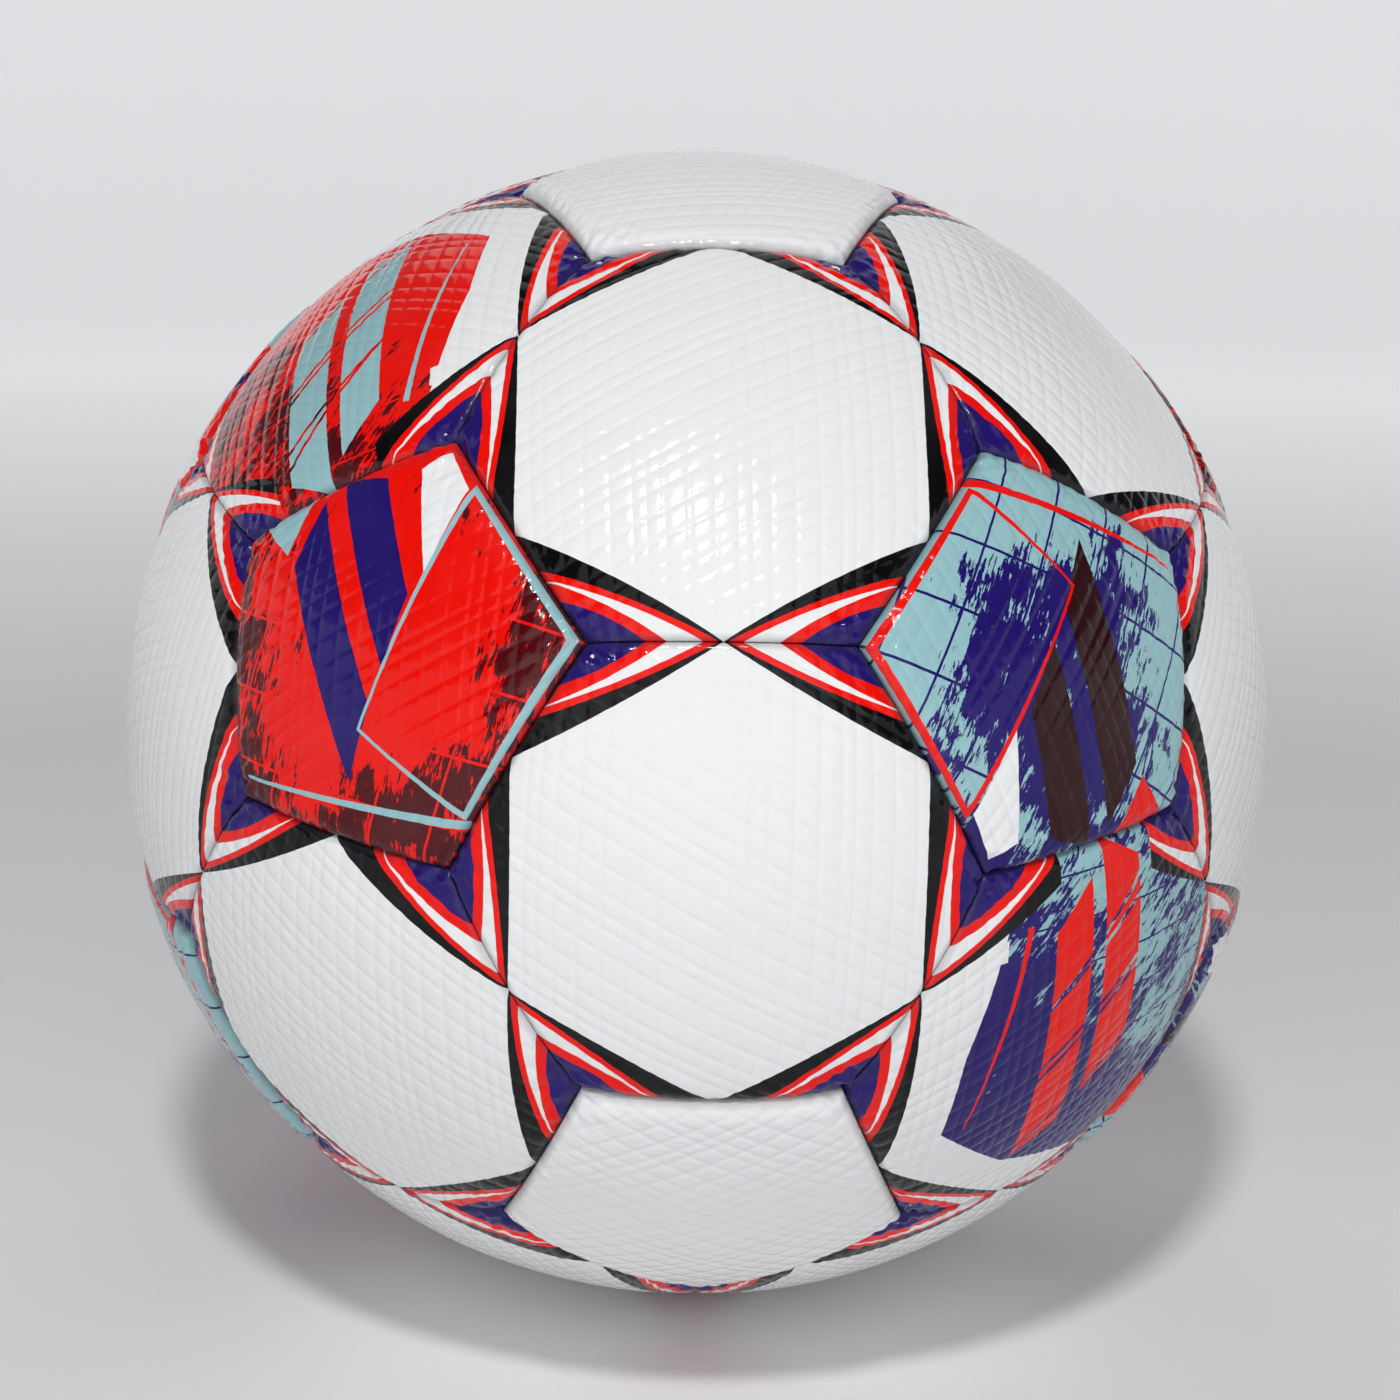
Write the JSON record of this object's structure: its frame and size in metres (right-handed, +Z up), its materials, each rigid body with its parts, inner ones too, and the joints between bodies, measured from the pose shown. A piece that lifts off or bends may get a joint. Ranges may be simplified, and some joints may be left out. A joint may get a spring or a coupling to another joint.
{
  "type": "soccer ball",
  "caption": "Size 5 soccer ball of pentagonal and hexagonal foam-backed panels over a textile carcass and rubber bladder, with an inflation valve.",
  "frame": {"origin": "centre of the ball", "axes": "+Y out of the inflation valve, through the centre of the valve's hexagon; +Z up, opposite the point that the ball rests on; +X completes the right-handed frame, through the middle of a seam between two hexagons"},
  "size_m": [0.2196, 0.2195, 0.2196],
  "materials": {
    "cover_white": "gloss",
    "cover_red": "gloss",
    "cover_purple": "gloss",
    "foam": "matte",
    "carcass_textile": "matte",
    "bladder_rubber": "matte",
    "valve_rubber": "matte"
  },
  "bodies": {
    "root": {"pentagon_panel_01": "cover_white", "pentagon_panel_02": "cover_white", "pentagon_panel_03": "cover_red", "pentagon_panel_04": "cover_red", "pentagon_panel_05": "cover_red", "pentagon_panel_06": "cover_purple", "pentagon_panel_07": "cover_purple", "pentagon_panel_08": "cover_red", "pentagon_panel_09": "cover_purple", "pentagon_panel_10": "cover_purple", "pentagon_panel_11": "cover_white", "pentagon_panel_12": "cover_white", "hexagon_panel_01": "cover_white", "hexagon_panel_02": "cover_white", "hexagon_panel_03": "cover_white", "hexagon_panel_04": "cover_white", "hexagon_panel_05": "cover_white", "hexagon_panel_06": "cover_white", "hexagon_panel_07": "cover_white", "hexagon_panel_08": "cover_white", "hexagon_panel_09": "cover_white", "hexagon_panel_10": "cover_white", "hexagon_panel_11": "cover_white", "hexagon_panel_12": "cover_white", "hexagon_panel_13": "cover_white", "hexagon_panel_14": "cover_white", "hexagon_panel_15": "cover_white", "hexagon_panel_16": "cover_white", "hexagon_panel_17": "cover_white", "hexagon_panel_18": "cover_white", "hexagon_panel_19": "cover_white", "valve_panel": "cover_white", "pentagon_foam_pads": "foam", "hexagon_foam_pads": "foam", "valve_foam_pad": "foam", "carcass": "carcass_textile", "bladder": "bladder_rubber", "valve_housing": "valve_rubber", "valve_core": "valve_rubber"}
  },
  "joints": []
}
